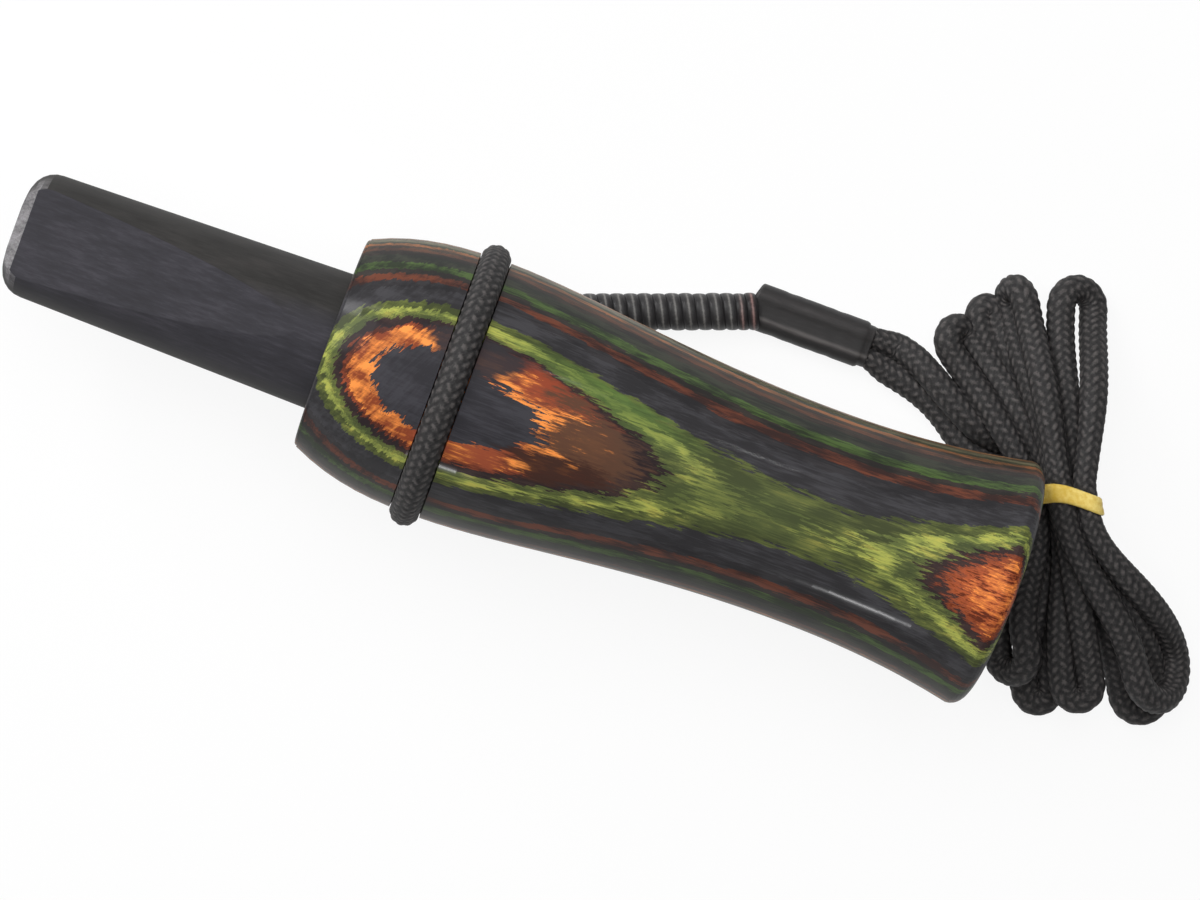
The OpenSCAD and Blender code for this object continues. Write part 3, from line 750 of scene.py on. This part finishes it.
# The cells of the waist's bundle that the band goes round, then its inner and outer distance
# from their middles and half its width
BAND_CELLS = [(0, 0), (2, 0), (2, 3), (1, 3), (0, 1)]
BAND_IN, BAND_OUT, BAND_HALF = WAIST_D / 2 + 0.05, WAIST_D / 2 + 0.6, 1.25
BAND_STRETCH = 0.97
BAND_SECTION = [(BAND_IN, -BAND_HALF + 0.1), (BAND_IN + 0.1, -BAND_HALF),
                (BAND_OUT - 0.22, -BAND_HALF), (BAND_OUT, -BAND_HALF + 0.25), (BAND_OUT, -0.4),
                (BAND_OUT - 0.05, 0.0), (BAND_OUT, 0.4), (BAND_OUT, BAND_HALF - 0.25),
                (BAND_OUT - 0.22, BAND_HALF), (BAND_IN + 0.1, BAND_HALF),
                (BAND_IN, BAND_HALF - 0.1), (BAND_IN, 0.0)]


def band_slant(b, h):
    """How far the band has slid along the hank: up the left shoulder, down on the right."""
    crown = smooth((h - 3.5) / 4.0)
    return crown * (-1.7 + 2.9 * smooth((b + 2.0) / 7.5))


def outward_angle(u, v):
    d = (v - u) / np.linalg.norm(v - u)
    return math.atan2(-d[0], d[1])


def band_loop():
    """Points round the waist's bundle, each with the angle that leads straight outwards there."""
    corners = [np.array([PASS_STEP * (column - 1) + WAIST_SHIFT, WAIST_H + PASS_STEP * layer])
               for column, layer in BAND_CELLS]
    loop = []
    for i, p in enumerate(corners):
        q = corners[(i + 1) % len(corners)]
        start, stop = outward_angle(corners[i - 1], p), outward_angle(p, q)
        while stop < start:
            stop += 2 * math.pi
        loop += [(p, t) for t in np.linspace(start, stop, 14)]
        loop += [(p + (q - p) * s, stop) for s in np.linspace(0, 1, 8)[1:-1]]
    return loop


def make_band(material):
    """A flat rubber ring stretched over the waist, its edges rounded and a little uneven."""
    loop = band_loop()
    rings = []
    for i, (p, t) in enumerate(loop):
        share = math.pi * i / len(loop)
        wave = 0.06 * math.sin(6 * share) + 0.04 * math.sin(10 * share + 1)
        ring = []
        for r, a in BAND_SECTION:
            b, h = p[0] + r * math.cos(t), p[1] + r * math.sin(t)
            ring.append(in_hank(b, a * BAND_STRETCH + wave + band_slant(b, h), h))
        rings.append(ring)
    rings.append(rings[0])
    piece = grid_object("rubber_band_stretched", np.array(rings), close_ends=False)
    shade(piece, material)
    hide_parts("rubber_band")
    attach(piece, "lanyard")
    return piece


# Floor and light

FLOOR_HALF, FLOOR_DROP = 0.9, 0.0004
FLOOR_GREY, FLOOR_GLOW = 0.9, 0.9
WORLD_SEEN, WORLD_LIGHT = 1.0, 0.38


def make_floor():
    """White wherever the camera or a reflection sees it, but still dimmed by the part's shadow."""
    s, z = FLOOR_HALF, FLOOR - FLOOR_DROP
    mesh = bpy.data.meshes.new("floor")
    mesh.from_pydata([(-s, -s, z), (s, -s, z), (s, s, z), (-s, s, z)], [], [(0, 1, 2, 3)])
    floor = bpy.data.objects.new("floor", mesh)
    bpy.context.collection.objects.link(floor)
    look = Look("floor", (FLOOR_GREY, FLOOR_GREY, FLOOR_GREY, 1.0), 0.9)
    rays = look.node("ShaderNodeLightPath")
    seen = look.math("MAXIMUM", rays.outputs["Is Camera Ray"], rays.outputs["Is Glossy Ray"])
    seen = look.math("MAXIMUM", seen, rays.outputs["Is Transmission Ray"])
    glow = look.node("ShaderNodeEmission", Color=(1.0, 1.0, 1.0, 1.0), Strength=1.0)
    mix = look.node("ShaderNodeMixShader", i0=look.times(seen, FLOOR_GLOW),
                    i1=look.surface.outputs[0], i2=glow.outputs[0])
    look.tree.links.new(mix.outputs[0], look.tree.nodes["Material Output"].inputs[0])
    shade(floor, look.material)


def make_world():
    world = bpy.data.worlds.new("studio")
    bpy.context.scene.world = world
    world.use_nodes = True
    nodes, links = world.node_tree.nodes, world.node_tree.links
    rays = nodes.new("ShaderNodeLightPath")
    seen = nodes.new("ShaderNodeMath")
    seen.operation = "MULTIPLY_ADD"
    links.new(rays.outputs["Is Camera Ray"], seen.inputs[0])
    seen.inputs[1].default_value = WORLD_SEEN - WORLD_LIGHT
    seen.inputs[2].default_value = WORLD_LIGHT
    links.new(seen.outputs[0], nodes["Background"].inputs["Strength"])


def area_light(name, place, aim, size, power):
    lamp = bpy.data.lights.new(name, "AREA")
    lamp.shape = "RECTANGLE"
    lamp.size, lamp.size_y = size
    lamp.energy = power
    light = bpy.data.objects.new(name, lamp)
    place, aim = Vector(place), Vector(aim)
    turned = (place - aim).to_track_quat("Z", "Y").to_matrix().to_4x4()
    light.matrix_world = Matrix.Translation(place) @ turned
    bpy.context.collection.objects.link(light)
    return light


def make_lights():
    """A soft light above for colour, then a strip or a panel for each gloss on waist, tip and shoulder."""
    overhead = area_light("overhead_soft", (-0.2, 0.2, 0.8), (-0.05, 0.0, 0.0), (0.8, 0.8), 7.0)
    overhead.visible_glossy = False
    area_light("far_strip", (0.062, 0.386, 0.46), (-0.035, 0.0, 0.0), (0.014, 0.008), 0.04)
    area_light("near_strip", (-0.0134, -2.835, 0.975), (-0.017, 0.0, 0.0), (0.36, 0.05), 10.5)
    area_light("tip_panel", (-0.55, 0.16, 0.42), (-0.085, 0.0, 0.0), (0.4, 0.3), 1.6)
    area_light("shoulder_panel", (-0.42, 0.29, 0.25), (-0.085, 0.0, 0.0), (0.12, 0.08), 0.42)


def dress_cad_nodes():
    looks = {
        "barrel": laminated_wood(),
        "mouthpiece": black_wood(),
        "front_o_ring": plain_look("seal_rubber", srgb(24, 24, 25), srgb(40, 40, 42), 0.55),
        "tone_board": plain_look("board_plastic", srgb(214, 206, 184), srgb(232, 226, 208), 0.4),
        "reed": plain_look("reed_film", srgb(196, 178, 120), srgb(216, 200, 146), 0.25),
        "reed_wedge": plain_look("cork", srgb(150, 110, 68), srgb(196, 152, 104), 0.85, 0.9, 0.08),
    }
    looks["rear_o_ring"] = looks["front_o_ring"]
    for node, material in looks.items():
        shade(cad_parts[node], material)


def declare_cord(path):
    length = float(np.linalg.norm(np.diff(path, axis=0), axis=1).sum()) * MM
    print("neck cord", round(length, 4), "m")


def main():
    make_camera()
    cord_material = cord_look()
    cord, path = make_neck_cord(cord_material)
    make_noose(cord_material)
    make_whipping(thread_look())
    make_sleeve(sleeve_look())
    band = make_band(plain_look("band_rubber", srgb(230, 192, 74), srgb(250, 226, 136), 0.55, 0.5))
    dress_cad_nodes()
    declare_cord(path)
    make_floor()
    make_world()
    make_lights()
    bpy.context.scene.view_settings.view_transform = "Standard"


main()
